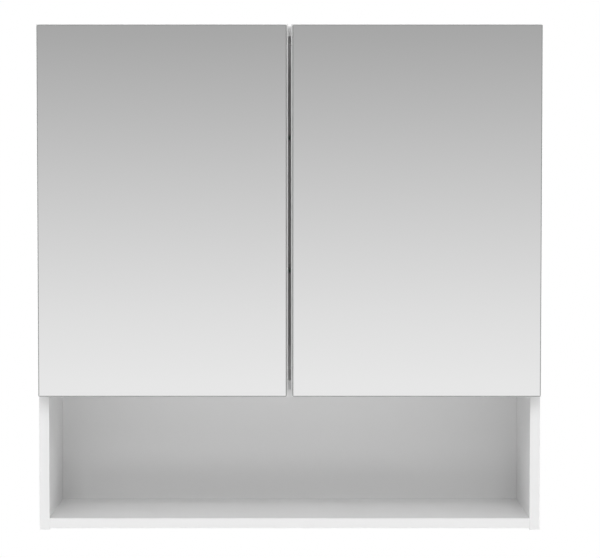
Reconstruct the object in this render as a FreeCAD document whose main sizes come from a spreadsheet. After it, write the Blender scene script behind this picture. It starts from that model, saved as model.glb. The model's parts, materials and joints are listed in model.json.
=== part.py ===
"""Bathroom mirror cabinet: a wall cabinet with two mirror doors over an open niche.

Millimetres, +Z up, the front faces -Y. The wall is the plane y = 0, and the origin is the middle of the
hanging rail's rear face. X is centred on the cabinet. The left-hand pieces are modelled, and the right-hand
ones are their mirror images.
"""
import FreeCAD, Part
import os
import re
import Sketcher
from FreeCAD import Placement, Rotation, Vector

# Driving dimensions, in millimetres or counts
SIZES = {
    # boards of the carcass
    "cabinet_width": 600,
    "cabinet_height": 603.5,
    "carcass_depth": 176,
    "board": 12,
    "end_overhang": 1.75,
    "niche_height": 154.5,
    "band": 0.8,
    "back_sheet": 3,
    "back_recess": 12,
    "groove_depth": 6,
    "groove_play": 0.1,
    "tongue_play": 0.4,
    "rail_height": 70,
    "panel_skin": 3,
    # board fittings
    "cam_diameter": 12,
    "cam_skin": 2.5,
    "cam_play": 0.05,
    "cam_recess_length": 7.2,
    "cam_recess_width": 1.8,
    "cam_setback": 24,
    "cam_front": 60,
    "cam_rear": 30,
    "bolt_diameter": 5,
    "bolt_neck": 3.4,
    "bolt_head": 4,
    "bolt_room": 0.3,
    "dowel_diameter": 6,
    "dowel_reach": 20,
    "dowel_play": 0.05,
    "drill_room": 0.3,
    "rail_dowel_pitch": 36,
    # wall hangers
    "hanger_inset": 48,
    "hanger_end": 6,
    "hanger_height": 32,
    "hanger_corner": 3,
    "hanger_sheet": 2,
    "hanger_play": 0.1,
    "keyhole_entry": 9,
    "keyhole_slot": 4.6,
    "keyhole_rise": 9,
    "rail_skin": 3,
    "keyhole_margin": 3,
    "hanger_screw_pitch": 34,
    # doors
    "door_board": 16,
    "swing_play": 0.34,
    "side_reveal": 1.25,
    "top_reveal": 0.5,
    "centre_gap": 3.6,
    "finger_lip": 6.25,
    "tape_sheet": 1,
    "tape_width": 20,
    "tape_margin": 14,
    "tape_strips": 4,
    "mirror_sheet": 4,
    "mirror_inset": 0.7,
    "meeting_inset": 1.7,
    "mirror_arris": 1,
    "bumper_base": 9,
    "bumper_tip": 7,
    "bumper_edge": 16,
    # hinges
    "hinge_inset": 70,
    "cup_diameter": 35,
    "cup_edge": 3,
    "cup_wall": 1.45,
    "cup_skin": 3,
    "cup_floor": 0.7,
    "cup_play": 0.05,
    "cup_rim": 1,
    "cup_flange": 1.2,
    "flange_width": 20,
    "flange_end": 7,
    "flange_corner": 5,
    "cup_screw_pitch": 48,
    "cup_screw_offset": 6,
    "pin_diameter": 2.5,
    "pin_play": 0.05,
    "pin_room": 0.5,
    "eye_wall": 1.45,
    "arm_sheet": 2,
    "arm_width": 8,
    "arm_bend": 3,
    "arm_play": 0.3,
    "arm_height": 12,
    "arm_setback": 12,
    "arm_length": 44,
    "channel_wall": 1.2,
    "channel_gap": 2,
    "channel_play": 0.1,
    "block_width": 8,
    "block_inset": 2,
    "plate_sheet": 2,
    "plate_length": 18,
    "plate_end": 9,
    "plate_corner": 6,
    "plate_setback": 37,
    "plate_screw_pitch": 32,
    "clamp_inset": 9,
    "adjuster_inset": 28,
    # screws
    "screw_shank": 3.4,
    "screw_head": 6.4,
    "screw_head_height": 1.8,
    "head_taper": 0.7,
    "screw_bite": 9,
    "screw_play": 0.05,
    "wafer_head": 6,
    "wafer_height": 1.2,
    "wafer_sink": 0.1,
    "euro_shank": 5,
    "euro_head": 8.5,
    "euro_head_height": 2.4,
    "machine_shank": 5,
    "machine_head": 8,
    "machine_head_height": 2.2,
    "machine_reach": 6,
    "machine_play": 0.1,
    "recess_length": 3.6,
    "recess_width": 0.9,
    "recess_depth": 1,
    # magnetic catches
    "catch_offset": 52,
    "catch_width": 26,
    "catch_depth": 17,
    "catch_height": 13,
    "catch_setback": 1,
    "catch_wall": 2.5,
    "catch_ear": 10,
    "ear_sheet": 3,
    "magnet_height": 5,
    "pole_sheet": 1.5,
    "pole_gap": 0.2,
    "strike_sheet": 1.2,
    "strike_end": 5,
    "strike_height": 11,
    "strike_corner": 3,
    "strike_screw_pitch": 34,
    # shelves
    "shelf_sheet": 5,
    "shelf_play": 1,
    "shelf_setback": 22,
    "shelf_arris": 0.5,
    "shelf_hole": 1,
    "row_pitch": 32,
    "row_holes": 8,
    "row_front": 50,
    "row_rear": 32,
    "support_plug": 5,
    "support_lug": 9,
    "support_width": 9,
    "support_drop": 7,
    "support_wall": 1.4,
    "plug_play": 0.05,
}

# Places that follow from the driving dimensions
LEFT = "(-cabinet_width / 2)"
INNER = "(cabinet_width / 2 - board)"
FRONT = "(-carcass_depth)"
BACK_FACE = "(-back_recess - back_sheet)"
TOP_UNDER = "(rail_height / 2)"
TOP = f"({TOP_UNDER} + board + end_overhang)"
BASE = f"({TOP} - cabinet_height)"
BOTTOM_UNDER = f"({BASE} + end_overhang)"
FLOOR_UNDER = f"({BOTTOM_UNDER} + board + niche_height)"
FLOOR_TOP = f"({FLOOR_UNDER} + board)"
SIDE_BORE = "(board - panel_skin)"
SIDE_BITE = f"({SIDE_BORE} - drill_room)"
CAM_DEPTH = "(board - cam_skin)"
LEVELS = {"top_panel": TOP_UNDER, "compartment_floor": FLOOR_UNDER, "bottom_panel": BOTTOM_UNDER}
CAM_LINES = (f"({FRONT} + cam_front)", f"({BACK_FACE} - cam_rear)")
DOWEL_LINE = f"(({CAM_LINES[0]} + {CAM_LINES[1]}) / 2)"
RAIL_DOWELS = ("(-rail_dowel_pitch / 2)", "(rail_dowel_pitch / 2)")
ROW_LINES = (f"({FRONT} + row_front)", f"({BACK_FACE} - row_rear)")
ROW_MIDDLE = f"(({FLOOR_TOP} + {TOP_UNDER}) / 2)"
ROW_STEPS = "(round(row_holes) - 1)"
ROW_FOOT = f"({ROW_MIDDLE} - row_pitch * {ROW_STEPS} / 2)"
SHELF_LEVELS = {
    "lower_shelf": f"({ROW_FOOT} + row_pitch * round(shelf_hole))",
    "upper_shelf": f"({ROW_FOOT} + row_pitch * ({ROW_STEPS} - round(shelf_hole)))",
}
EYE_RADIUS = "(pin_diameter / 2 + pin_play + eye_wall)"
CUP_DEPTH = "(door_board - cup_skin)"
CAVITY_DEPTH = f"({CUP_DEPTH} - cup_floor)"
PIN_DEPTH = f"({CAVITY_DEPTH} - arm_play - {EYE_RADIUS})"
PIN_EDGE = f"(cup_edge + cup_wall + arm_play + {EYE_RADIUS})"
DOOR_GAP = f"(sqrt({PIN_EDGE}^2 + {PIN_DEPTH}^2) - {PIN_DEPTH} + swing_play)"
DOOR_LEFT = f"({LEFT} + side_reveal)"
DOOR_WIDTH = "(cabinet_width / 2 - side_reveal - centre_gap / 2)"
DOOR_BASE = f"({FLOOR_UNDER} - finger_lip)"
DOOR_TOP = f"({TOP} - top_reveal)"
DOOR_HEIGHT = f"({DOOR_TOP} - {DOOR_BASE})"
DOOR_BACK = f"({FRONT} - {DOOR_GAP})"
DOOR_FRONT = f"({DOOR_BACK} - door_board)"
HINGES = {"upper": f"({DOOR_TOP} - hinge_inset)", "lower": f"({DOOR_BASE} + hinge_inset)"}
CUP_X = f"({DOOR_LEFT} + cup_edge + cup_diameter / 2)"
CUP_SCREW_X = f"({CUP_X} + cup_screw_offset)"
PIN_X = f"({DOOR_LEFT} + {PIN_EDGE})"
PIN_Y = f"({DOOR_BACK} - {PIN_DEPTH})"
ARM_X = f"({LEFT} + board + arm_height)"
ARM_SPINE = f"({ARM_X} + arm_sheet / 2 - {PIN_X})"
ARM_REACH = f"(sqrt(({ARM_SPINE} - arm_bend)^2 + arm_bend^2) + arm_bend + arm_sheet / 2)"
ARM_FRONT = f"({FRONT} + arm_setback)"
ARM_REAR = f"({ARM_FRONT} + arm_length)"
CHANNEL_DEPTH = "(arm_height - plate_sheet - channel_gap)"
CLAMP_Y = f"({ARM_REAR} - clamp_inset)"
ADJUSTER_Y = f"({ARM_REAR} - adjuster_inset)"
PLATE_Y = f"({FRONT} + plate_setback)"
CATCH_X = "(-centre_gap / 2 - catch_offset)"
CATCH_FRONT = f"({FRONT} + catch_setback)"
CATCH_MIDDLE = f"({TOP_UNDER} - catch_height / 2)"
MAGNET_WIDTH = "(catch_width - 2 * catch_wall)"
MAGNET_REAR = f"({CATCH_FRONT} + catch_depth - catch_wall)"
CATCH_EAR_X = "(catch_width / 2 + catch_ear / 2)"
HANGER_OFFSET = f"({INNER} - hanger_inset)"
HANGER_X = f"(-{HANGER_OFFSET})"
KEYHOLE_ENTRY_Z = "(-keyhole_rise / 2)"
KEYHOLE_HANG_Z = "(keyhole_rise / 2)"
HANGER_WIDTH = "(hanger_screw_pitch + 2 * hanger_end)"
WAFER_SEAT = "(wafer_height + wafer_sink)"
RAIL_BORE = "(back_recess - rail_skin)"
EASE_SHARE = 0.6

# Signs of the left and the right side, as they stand in a formula
SIDES = ("-1", "1")

# How a sheet that is drawn in the XY plane is turned to its place, and the cabinet's two axes in its plane
LEVEL = Rotation()
STANCES = {
    "level": (LEVEL, "xy"),
    "upright": (Rotation(Vector(1, 0, 0), 90), "xz"),
    "sideways": (Rotation(Vector(1, 1, 1), 120), "yz"),
}

# Which way the drawn +Z of a round piece points after its turn
TO_RIGHT = Rotation(Vector(0, 1, 0), 90)
TO_LEFT = Rotation(Vector(0, 1, 0), -90)
TO_WALL = Rotation(Vector(1, 0, 0), -90)
TO_FLOOR = Rotation(Vector(1, 0, 0), 180)
HALF_TURN = Rotation(Vector(0, 0, 1), 180)
QUARTER_BACK = Rotation(Vector(0, 0, 1), -90)
END_TURNS = dict(zip(SIDES, (LEVEL, HALF_TURN)))

doc = FreeCAD.newDocument("mirror_cabinet")
sheet = doc.addObject("Spreadsheet::Sheet", "Sizes")
for row, (word, number) in enumerate(SIZES.items(), 1):
    sheet.set(f"A{row}", word)
    sheet.set(f"B{row}", str(number))
    sheet.setAlias(f"B{row}", word)
doc.recompute()

nodes = []


def formula(text):
    """Point every size word of a formula at its cell."""
    def cell(word):
        return f"Sizes.{word.group()}" if word.group() in SIZES else word.group()
    return re.sub(r"[a-z_]+", cell, text)


def value(text):
    """The present number that a formula gives."""
    return float(sheet.evalExpression(formula(text)))


def tie(obj, prop, text):
    """Bind one property of an object to a formula in the sheet's words."""
    obj.setExpression(prop, formula(text))


def place(obj, spot, turn=LEVEL):
    """Put an object's own origin at a spot, turned."""
    obj.Placement = Placement(Vector(), turn)
    for axis, text in zip("xyz", spot):
        tie(obj, f"Placement.Base.{axis}", text)
    return obj


def node(obj, label):
    """Name a finished piece and list it for writing."""
    obj.Label = label
    nodes.append(obj)
    return obj


def box(corner, size):
    """A block from its lowest corner and its three lengths."""
    solid = doc.addObject("Part::Box", "Block")
    for prop, text in zip(("Length", "Width", "Height"), size):
        tie(solid, prop, text)
    return place(solid, corner)


def span(low, high):
    """A block between two corners."""
    return box(low, [f"({b}) - ({a})" for a, b in zip(low, high)])


def rod(spot, radius, length, turn=LEVEL, angle="360"):
    """A round bar, or a sector of one, that starts at a spot."""
    solid = doc.addObject("Part::Cylinder", "Rod")
    tie(solid, "Radius", radius)
    tie(solid, "Height", length)
    tie(solid, "Angle", angle)
    return place(solid, spot, turn)


def cone(spot, foot_radius, top_radius, length, turn=LEVEL):
    """A tapered round bar that starts at a spot."""
    solid = doc.addObject("Part::Cone", "Taper")
    tie(solid, "Radius1", foot_radius)
    tie(solid, "Radius2", top_radius)
    tie(solid, "Height", length)
    return place(solid, spot, turn)


def fuse(*solids):
    """One solid from several that touch or overlap."""
    whole = doc.addObject("Part::MultiFuse", "Whole")
    whole.Shapes = list(solids)
    whole.Refine = True
    return whole


def group(*solids):
    """Separate solids that share one node."""
    together = doc.addObject("Part::Compound", "Together")
    together.Links = list(solids)
    return together


def cut(base, *tools):
    """A solid with one or more others taken out of it."""
    rest = doc.addObject("Part::Cut", "Rest")
    rest.Base = base
    rest.Tool = group(*tools)
    rest.Refine = True
    return rest


def mirrored(obj):
    """The right-hand twin of a left-hand piece."""
    twin = doc.addObject("Part::Mirroring", "Twin")
    twin.Source = obj
    twin.Base = Vector()
    twin.Normal = Vector(1, 0, 0)
    return twin


def copies(source, spots):
    """Copies of one piece at several spots, as one group; each spot has its own turn."""
    links = []
    for spot, turn in spots:
        link = doc.addObject("App::Link", "Copy")
        link.LinkedObject = source
        links.append(place(link, spot, turn))
    return group(*links)


def pair(label, obj):
    """List a left-hand piece and its mirrored twin."""
    node(obj, f"left_{label}")
    node(mirrored(obj), f"right_{label}")


def sketch(body, plane, offset="0"):
    """An empty sketch on one of a body's own planes, raised by an offset."""
    flat = body.newObject("Sketcher::SketchObject", "Sketch")
    support = [feature for feature in body.Origin.OriginFeatures if feature.Role == plane][0]
    flat.AttachmentSupport = (support, [""])
    flat.MapMode = "FlatFace"
    tie(flat, "AttachmentOffset.Base.z", offset)
    return flat


def dimension(flat, kind, where, text):
    """A driving constraint that follows a formula."""
    number = flat.addConstraint(Sketcher.Constraint(kind, *where, value(text)))
    flat.setExpression(f"Constraints[{number}]", formula(text))


def rectangle(flat, low, high):
    """Draw a rectangle between two corners."""
    corners = [low, (high[0], low[1]), high, (low[0], high[1])]
    spots = [Vector(value(x), value(y), 0) for x, y in corners]
    for index in range(4):
        flat.addGeometry(Part.LineSegment(spots[index], spots[(index + 1) % 4]), False)
    for index, (x, y) in enumerate(corners):
        flat.addConstraint(Sketcher.Constraint("Coincident", index, 2, (index + 1) % 4, 1))
        dimension(flat, "DistanceX", (index, 1), x)
        dimension(flat, "DistanceY", (index, 1), y)


def circle(flat, centre, diameter):
    """Draw a circle about a centre."""
    x, y = centre
    ring = Part.Circle(Vector(value(x), value(y), 0), Vector(0, 0, 1), value(diameter) / 2)
    index = flat.addGeometry(ring, False)
    dimension(flat, "Diameter", (index,), diameter)
    dimension(flat, "DistanceX", (index, 3), x)
    dimension(flat, "DistanceY", (index, 3), y)


def pad(body, flat, length):
    """Raise a sketch into a solid."""
    raised = body.newObject("PartDesign::Pad", "Pad")
    raised.Profile = flat
    tie(raised, "Length", length)
    doc.recompute()
    return raised


def pocket(body, flat, depth, backwards=False, through=False):
    """Cut a sketch into a body, and make sure that it took something away."""
    before = body.Shape.Volume
    hollow = body.newObject("PartDesign::Pocket", "Pocket")
    hollow.Profile = flat
    hollow.Reversed = backwards
    if through:
        hollow.Midplane = True
    tie(hollow, "Length", depth)
    doc.recompute()
    if not body.Shape.Volume < before - 1e-3:
        raise RuntimeError(f"a pocket of {body.Name} cuts nothing")
    return hollow


def upright_edges(solid):
    """The names of a padded sheet's corner edges, which run along its thickness."""
    names = []
    for index, edge in enumerate(solid.Shape.Edges, 1):
        low, high = edge.BoundBox.ZMin, edge.BoundBox.ZMax
        if high - low > 0.5 * solid.Shape.BoundBox.ZLength:
            names.append(f"Edge{index}")
    return names


class Board:
    """A flat sheet drawn in XY and turned to its place, cut at spots given in the cabinet's own frame."""

    def __init__(self, corner, length, width, thickness, stance="level", rounding=None):
        turn, axes = STANCES[stance]
        self.body = doc.addObject("PartDesign::Body", "Board")
        self.length = length
        self.thickness = thickness
        places = dict(zip("xyz", corner))
        self.origin = [f"({places[axis]})" for axis in axes]
        flat = sketch(self.body, "XY_Plane")
        rectangle(flat, ("0", "0"), (length, width))
        self.sheet = pad(self.body, flat, thickness)
        if rounding:
            corners = self.body.newObject("PartDesign::Fillet", "Corners")
            corners.Base = (self.sheet, upright_edges(self.sheet))
            tie(corners, "Radius", rounding)
        place(self.body, corner, turn)
        doc.recompute()

    def spot(self, where):
        """A place in the board's own plane from one in the cabinet's frame."""
        return tuple(f"({text} - {start})" for text, start in zip(where, self.origin))

    def face(self, far):
        """A sketch on the board's near or far face."""
        return sketch(self.body, "XY_Plane", self.thickness if far else "0")

    def drill(self, spots, diameter, depth, far=False):
        """Round holes into one face."""
        flat = self.face(far)
        for where in spots:
            circle(flat, self.spot(where), diameter)
        return pocket(self.body, flat, depth, backwards=not far)

    def recess(self, low, high, depth, far=False):
        """A rectangular hollow in one face."""
        flat = self.face(far)
        rectangle(flat, self.spot(low), self.spot(high))
        return pocket(self.body, flat, depth, backwards=not far)

    def drill_ends(self, lines, diameter, depth):
        """Holes into both ends, halfway through the thickness, at lines across the board."""
        for offset, backwards in (("0", True), (self.length, False)):
            flat = sketch(self.body, "YZ_Plane", offset)
            for line in lines:
                circle(flat, (f"({line} - {self.origin[1]})", f"({self.thickness}) / 2"), diameter)
            pocket(self.body, flat, depth, backwards=backwards)

    def repeat(self, hole, length, count):
        """Repeat a hole up the board."""
        row = self.body.newObject("PartDesign::LinearPattern", "Row")
        row.Originals = [hole]
        row.Direction = (hole.Profile[0], ["V_Axis"])
        tie(row, "Length", length)
        tie(row, "Occurrences", count)
        self.body.Tip = row
        doc.recompute()


def strip(low, high, stance, side):
    """An edge band between two corners, with the long edges of its outer side eased."""
    lengths = {axis: f"(({b}) - ({a}))" for axis, a, b in zip("xyz", low, high)}
    across, up = STANCES[stance][1]
    along = (set("xyz") - {across, up}).pop()
    band = Board(low, lengths[across], lengths[up], lengths[along], stance)
    whole = band.sheet.Shape
    limit = getattr(whole.BoundBox, side)
    names = [name for name in upright_edges(band.sheet)
             if abs(getattr(whole.getElement(name).BoundBox, side) - limit) < EASE_SHARE * value("band")]
    eased = band.body.newObject("PartDesign::Fillet", "Eased")
    eased.Base = (band.sheet, names)
    tie(eased, "Radius", f"{EASE_SHARE} * band")
    doc.recompute()
    return band.body


def pane(corner, length, width, thickness, arris, stance="level"):
    """A glass sheet with ground edges."""
    board = Board(corner, length, width, thickness, stance)
    ground = board.body.newObject("PartDesign::Chamfer", "Arris")
    ground.Base = (board.sheet, [f"Edge{index}" for index in range(1, len(board.sheet.Shape.Edges) + 1)])
    tie(ground, "Size", arris)
    doc.recompute()
    return board.body


def cross_recess(foot, length, width):
    """The two slots of a cross recess on +Z, from its foot upwards."""
    return [
        box((f"-{x} / 2", f"-{y} / 2", foot), (x, y, "recess_depth + drill_room"))
        for x, y in ((length, width), (width, length))
    ]


def screw(shank, length, head, head_height):
    """A cross-head screw on +Z; its tapered head stands on z = 0."""
    whole = fuse(
        rod(("0", "0", f"-({length})"), f"{shank} / 2", f"({length}) + {head_height} / 2"),
        cone(("0", "0", "0"), f"{head} / 2", f"{head} / 2 - head_taper", head_height),
    )
    foot = f"{head_height} - recess_depth"
    return cut(whole, *cross_recess(foot, "recess_length", "recess_width"))


def side_panels():
    """Both side panels, with the back's groove and every hole that the fittings need."""
    panel = Board(
        (LEFT, f"{FRONT} + band", f"{BASE} + band"),
        "(carcass_depth - band)",
        "(cabinet_height - 2 * band)",
        "board",
        "sideways",
    )
    panel.recess(
        (f"({BACK_FACE} - groove_play)", f"({BOTTOM_UNDER} + board - groove_depth)"),
        ("(-back_recess + groove_play)", f"({TOP_UNDER} + groove_depth)"),
        "groove_depth",
        far=True,
    )
    middles = [f"({level} + board / 2)" for level in LEVELS.values()]
    bolts = [(line, middle) for middle in middles for line in CAM_LINES]
    panel.drill(bolts, "bolt_diameter + 2 * screw_play", SIDE_BORE, far=True)
    dowels = [(DOWEL_LINE, middle) for middle in middles]
    dowels += [("(-back_recess / 2)", line) for line in RAIL_DOWELS]
    panel.drill(dowels, "dowel_diameter + 2 * dowel_play", SIDE_BORE, far=True)
    plate_screws = [
        (PLATE_Y, f"({height} + {side} * plate_screw_pitch / 2)")
        for height in HINGES.values() for side in SIDES
    ]
    panel.drill(plate_screws, "euro_shank + 2 * screw_play", SIDE_BORE, far=True)
    row = panel.drill(
        [(line, ROW_FOOT) for line in ROW_LINES],
        "support_plug + 2 * plug_play",
        SIDE_BORE,
        far=True,
    )
    panel.repeat(row, f"row_pitch * {ROW_STEPS}", "round(row_holes)")
    pair("side_panel", panel.body)
    bands = group(
        strip((LEFT, FRONT, BASE), (f"{LEFT} + board", f"{FRONT} + band", TOP), "level", "YMin"),
        span((LEFT, f"{FRONT} + band", BASE), (f"{LEFT} + board", "0", f"{BASE} + band")),
        span((LEFT, f"{FRONT} + band", f"{TOP} - band"), (f"{LEFT} + board", "0", TOP)),
    )
    pair("side_bands", bands)


def cross_boards():
    """The top panel, the compartment floor and the bottom panel, with their front bands."""
    bands = []
    for label, level in LEVELS.items():
        rear = BACK_FACE if label == "compartment_floor" else "0"
        cross = Board(
            (f"-{INNER}", f"{FRONT} + band", level),
            f"(2 * {INNER})",
            f"({rear} - {FRONT} - band)",
            "board",
        )
        cams = [(f"{side} * ({INNER} - cam_setback)", line) for side in SIDES for line in CAM_LINES]
        cross.drill(cams, "cam_diameter + 2 * cam_play", CAM_DEPTH, far=label == "top_panel")
        cross.drill_ends(CAM_LINES, "bolt_diameter + 2 * bolt_room", "cam_setback")
        cross.drill_ends([DOWEL_LINE], "dowel_diameter + 2 * dowel_play", "dowel_reach + drill_room")
        if label == "top_panel":
            screws = [(f"({CATCH_X} + {side} * {CATCH_EAR_X})", f"({CATCH_FRONT} + catch_depth / 2)")
                      for side in SIDES]
            screws += [(f"(-{x})", y) for x, y in screws]
            cross.drill(screws, "screw_shank + 2 * screw_play", "screw_bite + drill_room")
        if rear == "0":
            cross.recess(
                (f"(-{INNER})", f"({BACK_FACE} - groove_play)"),
                (INNER, "(-back_recess + groove_play)"),
                "groove_depth",
                far=label == "bottom_panel",
            )
        node(cross.body, label)
        low, high = (f"-{INNER}", FRONT, level), (INNER, f"{FRONT} + band", f"{level} + board")
        bands.append(strip(low, high, "sideways", "XMin"))
    node(group(*bands), "cross_board_bands")


def back_and_rail():
    """The thin back in its grooves, and the hanging rail behind it with hollows for the keyhole plates."""
    tongue = "(groove_depth - tongue_play)"
    back = span(
        (f"-{INNER} - {tongue}", BACK_FACE, f"{BOTTOM_UNDER} + board - {tongue}"),
        (f"{INNER} + {tongue}", "-back_recess", f"{TOP_UNDER} + {tongue}"),
    )
    node(back, "back_panel")
    rail = Board(
        (f"-{INNER}", "0", "(-rail_height / 2)"),
        f"(2 * {INNER})",
        "rail_height",
        "back_recess",
        "upright",
    )
    half_width = f"({HANGER_WIDTH} / 2 + hanger_play)"
    half_height = "(hanger_height / 2 + hanger_play)"
    room_half = "(keyhole_entry / 2 + keyhole_margin)"
    for side in SIDES:
        middle = f"({side} * {HANGER_OFFSET})"
        rail.recess(
            (f"({middle} - {half_width})", f"(-{half_height})"),
            (f"({middle} + {half_width})", half_height),
            "hanger_sheet",
        )
        rail.recess(
            (f"({middle} - {room_half})", f"({KEYHOLE_ENTRY_Z} - {room_half})"),
            (f"({middle} + {room_half})", f"({KEYHOLE_HANG_Z} + {room_half})"),
            RAIL_BORE,
        )
    screws = [(f"({side} * {HANGER_OFFSET} + {end} * hanger_screw_pitch / 2)", "0")
              for side in SIDES for end in SIDES]
    rail.drill(screws, "screw_shank + 2 * screw_play", RAIL_BORE)
    rail.drill_ends(RAIL_DOWELS, "dowel_diameter + 2 * dowel_play", "dowel_reach + drill_room")
    node(rail.body, "hanging_rail")


def hangers():
    """The keyhole plates that hang the cabinet on two wall screws."""
    plate = Board(
        (f"{HANGER_X} - {HANGER_WIDTH} / 2", "0", "(-hanger_height / 2)"),
        HANGER_WIDTH,
        "hanger_height",
        "hanger_sheet",
        "upright",
        "hanger_corner",
    )
    through = "hanger_sheet"
    plate.drill([(HANGER_X, KEYHOLE_ENTRY_Z)], "keyhole_entry", through)
    plate.recess(
        (f"({HANGER_X} - keyhole_slot / 2)", KEYHOLE_ENTRY_Z),
        (f"({HANGER_X} + keyhole_slot / 2)", KEYHOLE_HANG_Z),
        through,
    )
    plate.drill([(HANGER_X, KEYHOLE_HANG_Z)], "keyhole_slot", through)
    screws = [(f"({HANGER_X} + {end} * hanger_screw_pitch / 2)", "0") for end in SIDES]
    plate.drill(screws, "wafer_head + 2 * hanger_play", WAFER_SEAT)
    plate.drill(screws, "screw_shank + 2 * screw_play", through)
    pair("hanger_plate", plate.body)
    wafer = screw("screw_shank", f"{RAIL_BORE} - {WAFER_SEAT} - drill_room", "wafer_head", "wafer_height")
    spots = [
        ((f"{side} * {HANGER_OFFSET} + {end} * hanger_screw_pitch / 2", f"-{WAFER_SEAT}", "0"), TO_WALL)
        for side in SIDES for end in SIDES
    ]
    node(copies(wafer, spots), "hanger_screws")


def board_fittings():
    """Cam housings, cam bolts and dowels that hold the boards together."""
    cam = cut(
        rod(("0", "0", f"-{CAM_DEPTH}"), "cam_diameter / 2", CAM_DEPTH),
        rod(("bolt_head", "0", "-board / 2"), "bolt_diameter / 2 + bolt_room", "bolt_head + cam_diameter",
            TO_LEFT),
        *cross_recess("-recess_depth", "cam_recess_length", "cam_recess_width"),
    )
    bolt = fuse(
        rod((f"-{SIDE_BITE}", "0", "0"), "bolt_diameter / 2", SIDE_BITE, TO_RIGHT),
        rod(("0", "0", "0"), "bolt_neck / 2", "cam_setback", TO_RIGHT),
        rod(("cam_setback - bolt_head / 2", "0", "0"), "bolt_diameter / 2", "bolt_head", TO_RIGHT),
    )
    peg = fuse(
        rod((f"-{SIDE_BITE}", "0", "0"), "dowel_diameter / 2", SIDE_BITE, TO_RIGHT),
        rod(("0", "0", "0"), "dowel_diameter / 2", "dowel_reach", TO_RIGHT),
    )
    cams, bolts, pegs = [], [], []
    for label, level in LEVELS.items():
        on_top = label == "top_panel"
        face_turn = LEVEL if on_top else TO_FLOOR
        cam_level = f"{level} + board" if on_top else level
        for side, end_turn in END_TURNS.items():
            pegs.append(((f"{side} * {INNER}", DOWEL_LINE, f"{level} + board / 2"), end_turn))
            for line in CAM_LINES:
                cams.append(((f"{side} * ({INNER} - cam_setback)", line, cam_level), end_turn * face_turn))
                bolts.append(((f"{side} * {INNER}", line, f"{level} + board / 2"), end_turn))
    for side, end_turn in END_TURNS.items():
        for line in RAIL_DOWELS:
            pegs.append(((f"{side} * {INNER}", "-back_recess / 2", line), end_turn))
    node(copies(cam, cams), "cam_housings")
    node(copies(bolt, bolts), "cam_bolts")
    node(copies(peg, pegs), "dowels")


def shelves():
    """Two glass shelves on plug-in supports."""
    support = fuse(
        rod((f"-{SIDE_BITE}", "0", "0"), "support_plug / 2", f"{SIDE_BITE} + support_wall", TO_RIGHT),
        box(("0", "-support_width / 2", "support_plug / 2 - support_drop"),
            ("support_wall", "support_width", "support_drop")),
        box(("0", "-support_width / 2", "support_plug / 2 - support_wall"),
            ("support_lug", "support_width", "support_wall")),
    )
    spots = []
    for label, level in SHELF_LEVELS.items():
        shelf = pane(
            (f"-{INNER} + shelf_play", f"{FRONT} + shelf_setback", f"{level} + support_plug / 2"),
            f"(2 * {INNER} - 2 * shelf_play)",
            f"({BACK_FACE} - {FRONT} - shelf_setback - shelf_play)",
            "shelf_sheet",
            "shelf_arris",
        )
        node(shelf, label)
        for side, end_turn in END_TURNS.items():
            spots += [((f"{side} * {INNER}", line, level), end_turn) for line in ROW_LINES]
    node(copies(support, spots), "shelf_supports")


def door():
    """The doors: carrier board, edge bands, mirror, tape and bumpers."""
    core = Board(
        (f"{DOOR_LEFT} + band", DOOR_BACK, f"{DOOR_BASE} + band"),
        f"({DOOR_WIDTH} - 2 * band)",
        f"({DOOR_HEIGHT} - 2 * band)",
        "door_board",
        "upright",
    )
    cups = [(CUP_X, height) for height in HINGES.values()]
    core.drill(cups, "cup_diameter + 2 * cup_play", f"{CUP_DEPTH} + cup_play")
    screws = [
        (CUP_SCREW_X, f"({height} + {side} * cup_screw_pitch / 2)")
        for height in HINGES.values() for side in SIDES
    ]
    screws += [(f"({CATCH_X} + {side} * strike_screw_pitch / 2)", CATCH_MIDDLE) for side in SIDES]
    core.drill(screws, "screw_shank + 2 * screw_play", "screw_bite + drill_room")
    pair("door_board", core.body)
    right_edge = f"({DOOR_LEFT} + {DOOR_WIDTH})"
    low, high = (DOOR_LEFT, DOOR_FRONT, DOOR_BASE), (right_edge, DOOR_BACK, DOOR_TOP)
    inner_left, inner_right = f"{DOOR_LEFT} + band", f"{right_edge} - band"
    bands = group(
        strip(low, (inner_left, DOOR_BACK, DOOR_TOP), "level", "XMin"),
        strip((inner_right, DOOR_FRONT, DOOR_BASE), high, "level", "XMax"),
        strip((inner_left, DOOR_FRONT, DOOR_BASE), (inner_right, DOOR_BACK, f"{DOOR_BASE} + band"),
              "sideways", "YMin"),
        strip((inner_left, DOOR_FRONT, f"{DOOR_TOP} - band"), (inner_right, DOOR_BACK, DOOR_TOP),
              "sideways", "YMax"),
    )
    pair("door_bands", bands)
    mirror = pane(
        (f"{DOOR_LEFT} + mirror_inset", f"{DOOR_FRONT} - tape_sheet", f"{DOOR_BASE} + mirror_inset"),
        f"({DOOR_WIDTH} - mirror_inset - meeting_inset)",
        f"({DOOR_HEIGHT} - 2 * mirror_inset)",
        "mirror_sheet",
        "mirror_arris",
        "upright",
    )
    pair("mirror", mirror)
    strips = []
    pitch = f"(({DOOR_WIDTH} - 2 * tape_margin - tape_width) / (round(tape_strips) - 1))"
    for index in range(round(value("tape_strips"))):
        start = f"{DOOR_LEFT} + tape_margin + {index} * {pitch}"
        strips.append(span(
            (start, f"{DOOR_FRONT} - tape_sheet", f"{DOOR_BASE} + tape_margin"),
            (f"{start} + tape_width", DOOR_FRONT, f"{DOOR_TOP} - tape_margin"),
        ))
    pair("mirror_tape", group(*strips))
    bumpers = []
    for level in (TOP_UNDER, FLOOR_UNDER):
        seat = (f"{right_edge} - bumper_edge", DOOR_BACK, f"{level} + board / 2")
        bumpers.append(cone(seat, "bumper_base / 2", "bumper_tip / 2", DOOR_GAP, TO_WALL))
    pair("door_bumpers", group(*bumpers))


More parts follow.
